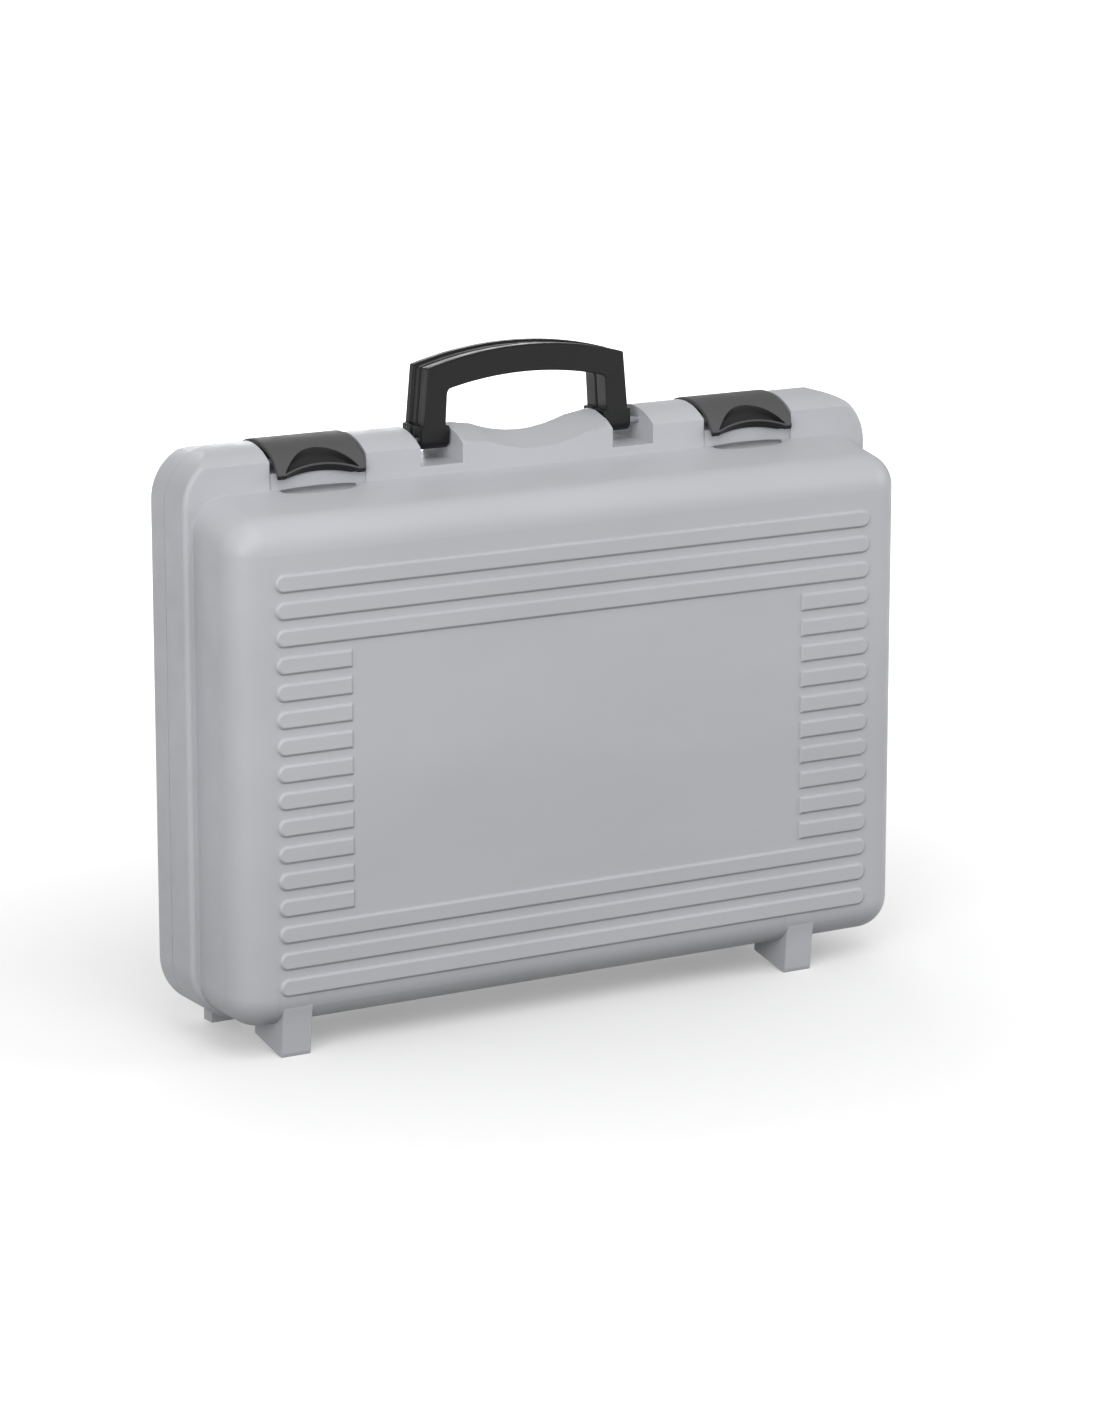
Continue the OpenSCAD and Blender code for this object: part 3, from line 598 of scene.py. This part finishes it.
def foot_patch(middle):
    """The body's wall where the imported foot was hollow."""
    outer = under_body(BODY_R - PATCH_SINK, PATCH_TOP)
    inner = under_body(BODY_R - PATCH_WALL, PATCH_TOP)
    outline = [*outer, (CUT_BACK, outer[-1][1]), (CUT_BACK, inner[-1][1]), *inner[::-1]]
    return extruded_in_case(outline, middle - PATCH_HALF, middle + PATCH_HALF)


def front_foot(middle):
    """A front foot: its front leans back to the tip and its edges are rounded."""
    inside = under_body(BODY_R - FOOT_SINK, FOOT_TOP)
    outline = [*FOOT_FRONT, (FOOT_TURN_Y, FOOT_TOP), *inside, (FOOT_BACK, inside[-1][1]),
               (FOOT_BACK, FOOT_BACK_Z), (TIP_BACK, 0)]
    tool = add_object("foot", extruded_in_case(outline, middle - FOOT_HALF, middle + FOOT_HALF))
    edge = tool.modifiers.new("Round", "BEVEL")
    edge.width = FOOT_ROUND * MM
    edge.segments = FOOT_ROUND_STEPS
    edge.angle_limit = math.radians(FOOT_ROUND_ANGLE)
    result = modified(tool)
    bpy.data.objects.remove(tool)
    return result


def finger_hollow(middle, wall=0, brim=math.inf):
    """A flat lens at the foot of the recess under a latch. It leans with the body's top. With a
    wall it is larger all round, and it is flat on top at the brim's height."""
    b = bmesh.new()
    bmesh.ops.create_uvsphere(b, u_segments=HOLLOW_FACETS, v_segments=HOLLOW_FACETS // 2, radius=1)
    for corner in b.verts:
        x, y, z = corner.co
        y *= (HOLLOW_FRONT if y < 0 else HOLLOW_BACK) + wall
        z = min(z * ((HOLLOW_UP if z > 0 else HOLLOW_DOWN) + wall), brim)
        place = (middle + x * (HOLLOW_HALF + wall), RECESS_Y + y, HOLLOW_Z + z + y * TOP_FALL)
        corner.co = [value * MM for value in place]
    return finished("hollow", b)


def front_piece(material):
    """The front shell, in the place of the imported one, with its two front feet set back under the
    rounded edge and with deeper finger hollows under the latches."""
    mesh = NODES["front_shell"].data.copy()
    b = bmesh.new()
    b.from_mesh(mesh)
    bmesh.ops.remove_doubles(b, verts=b.verts[:], dist=SEAM)
    b.to_mesh(mesh)
    b.free()
    mesh.materials.clear()
    mesh.materials.append(material)
    piece = add_object("front_shell_feet", mesh)
    soften(piece, SHELL_SOFT)
    for middle in FOOT_XS:
        combine(piece, foot_cut(middle), "DIFFERENCE")
        combine(piece, foot_patch(middle), "UNION")
        combine(piece, front_foot(middle + FOOT_SHIFT), "UNION")
    for middle in (-LATCH_X, LATCH_X):
        combine(piece, finger_hollow(middle, HOLLOW_WALL, HOLLOW_BRIM), "UNION")
        combine(piece, finger_hollow(middle), "DIFFERENCE")
    even_shading(piece)
    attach(piece, "front_case")
    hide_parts("front_shell")


def seen(g):
    """1 for rays from the camera and in gloss, 0 for the light that reaches the case."""
    path = g.nodes.new("ShaderNodeLightPath")
    both = g.nodes.new("ShaderNodeMath")
    both.operation = "MAXIMUM"
    g.links.new(path.outputs["Is Camera Ray"], both.inputs[0])
    g.links.new(path.outputs["Is Glossy Ray"], both.inputs[1])
    return both.outputs[0]


def floor_material():
    """White that keeps the shadow of the case and turns to plain white further out. It throws
    little light back on the case."""
    g = Graph("floor_white")
    sight = seen(g)
    white = g.tint(g.noise(0.4, 2.0), shade(FLOOR_WHITE, 0.985), FLOOR_WHITE)
    dim = g.nodes.new("ShaderNodeRGB").outputs[0]
    dim.default_value = (*FLOOR_BOUNCE, 1)
    g.feed("Base Color", g.blend(sight, dim, white))
    distance = g.nodes.new("ShaderNodeVectorMath")
    distance.operation = "LENGTH"
    g.links.new(g.place, distance.inputs[0])
    away = g.spread(distance.outputs["Value"], GLOW_NEAR, 1, GLOW_FROM, GLOW_TO)
    glow = g.nodes.new("ShaderNodeMath")
    glow.operation = "MULTIPLY"
    g.links.new(away, glow.inputs[0])
    g.links.new(sight, glow.inputs[1])
    g.feed("Emission Strength", glow.outputs[0])
    g.shader.inputs["Emission Color"].default_value = (1, 1, 1, 1)
    g.shader.inputs["Roughness"].default_value = 0.9
    g.shader.inputs["Specular IOR Level"].default_value = 0.1
    return g.material


def add_floor():
    """A floor at the height of the feet's tips."""
    z = CAD_BOX[0][2]
    signs = ((-1, -1), (1, -1), (1, 1), (-1, 1))
    mesh = bpy.data.meshes.new("floor")
    mesh.from_pydata([(x * FLOOR_REACH, y * FLOOR_REACH, z) for x, y in signs], [], [(0, 1, 2, 3)])
    floor = add_object("floor", mesh)
    mesh.materials.append(floor_material())


def add_world():
    """Even light from all round, and white where the camera sees past the floor."""
    world = bpy.data.worlds.new("studio")
    bpy.context.scene.world = world
    world.use_nodes = True
    nodes = world.node_tree.nodes
    links = world.node_tree.links
    background = nodes["Background"]
    background.inputs["Color"].default_value = (1, 1, 1, 1)
    path = nodes.new("ShaderNodeLightPath")
    pick = nodes.new("ShaderNodeMapRange")
    pick.inputs["To Min"].default_value = WORLD_LIGHT
    pick.inputs["To Max"].default_value = 1.0
    links.new(path.outputs["Is Camera Ray"], pick.inputs["Value"])
    links.new(pick.outputs["Result"], background.inputs["Strength"])


def add_lamp(name, place, size, power):
    """A square soft lamp that points at the case's middle."""
    data = bpy.data.lights.new(name, "AREA")
    data.shape = "SQUARE"
    data.size = size
    data.energy = power
    lamp = add_object(name, data)
    lamp.location = place
    aim = Vector(CASE_MIDDLE) - Vector(place)
    lamp.rotation_euler = aim.to_track_quat("-Z", "Y").to_euler()


def add_camera():
    """The camera, where the photo was taken from."""
    data = bpy.data.cameras.new("camera")
    data.lens = CAMERA_LENS
    data.sensor_width = CAMERA_SENSOR
    data.clip_end = CAMERA_REACH
    camera = add_object("camera", data)
    camera.location = CAMERA_AT
    camera.rotation_euler = (math.radians(CAMERA_TILT), 0, math.radians(CAMERA_TURN))
    bpy.context.scene.camera = camera


case_plastic = moulded_plastic("case_grey", CASE_GREY, grain=0.0007, grain_depth=0.00006, rough=0.42)
handle_plastic = moulded_plastic("handle_black", HANDLE_BLACK, grain=0.0005, grain_depth=0.00005,
                                 rough=0.40, contrast=0.12, specular=0.28)
latch_plastic = moulded_plastic("latch_charcoal", LATCH_CHARCOAL, grain=0.0005, grain_depth=0.00004,
                                rough=0.58, contrast=0.08, specular=0.2)
# The scoop's material is the latch plastic darkened, as painted shade in the scoop and on the lip's end
# face.
scoop_painted_shade = moulded_plastic("latch_scoop_painted_shade", SCOOP_PAINTED_SHADE, grain=0.0009, grain_depth=0.00002,
                                rough=0.46, contrast=0.08, specular=0.1)
dress(SHELLS, case_plastic)
dress(HANDLES, handle_plastic)
dress([node for node, body, middle in LATCHES], latch_plastic)
dress(PINS, turned_steel("pin_steel"))

front_piece(case_plastic)
soften(NODES["rear_shell"], SHELL_SOFT)
for name in HANDLES:
    soften(NODES[name], HANDLE_SOFT, clamp=False)
for node, body, middle in LATCHES:
    latch_piece(node, body, middle, (latch_plastic, scoop_painted_shade))

add_floor()
add_world()
for name, place, size, power in LAMPS:
    add_lamp(name, place, size, power)
add_camera()
bpy.context.scene.view_settings.view_transform = "Standard"
